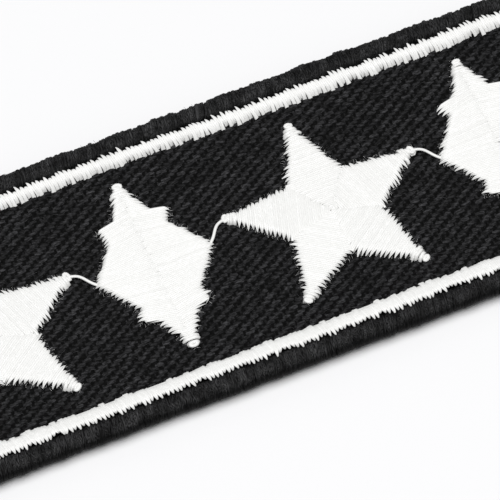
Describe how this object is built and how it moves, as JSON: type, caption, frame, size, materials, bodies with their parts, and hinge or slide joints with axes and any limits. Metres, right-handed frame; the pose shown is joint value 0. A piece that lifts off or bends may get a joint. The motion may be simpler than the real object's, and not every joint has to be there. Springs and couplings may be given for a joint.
{
  "type": "hook-and-loop patch",
  "caption": "Oblong embroidered cloth patch with an overlocked edge, a satin border line, star and lozenge ornaments and a hook backing.",
  "frame": {"origin": "centre of the hook face, on the plane that the patch rests on", "axes": "+X along the patch's length, +Y towards its upper edge, +Z out of the stitched face"},
  "size_m": [0.1, 0.03, 0.0024],
  "materials": {
    "black_twill": "matt woven cotton-polyester twill",
    "black_thread": "soft-sheen polyester overlock thread",
    "white_thread": "satin-stitched rayon embroidery thread",
    "black_tape": "plain woven nylon tape",
    "hook_nylon": "nylon monofilament hooks"
  },
  "bodies": {
    "root": {"twill_ground": "black_twill", "edge_binding": "black_thread", "inner_border": "white_thread", "star_left": "white_thread", "star_middle": "white_thread", "star_right": "white_thread", "lozenge_left": "white_thread", "lozenge_right": "white_thread", "hook_tape": "black_tape", "hook_field": "hook_nylon"}
  },
  "joints": []
}
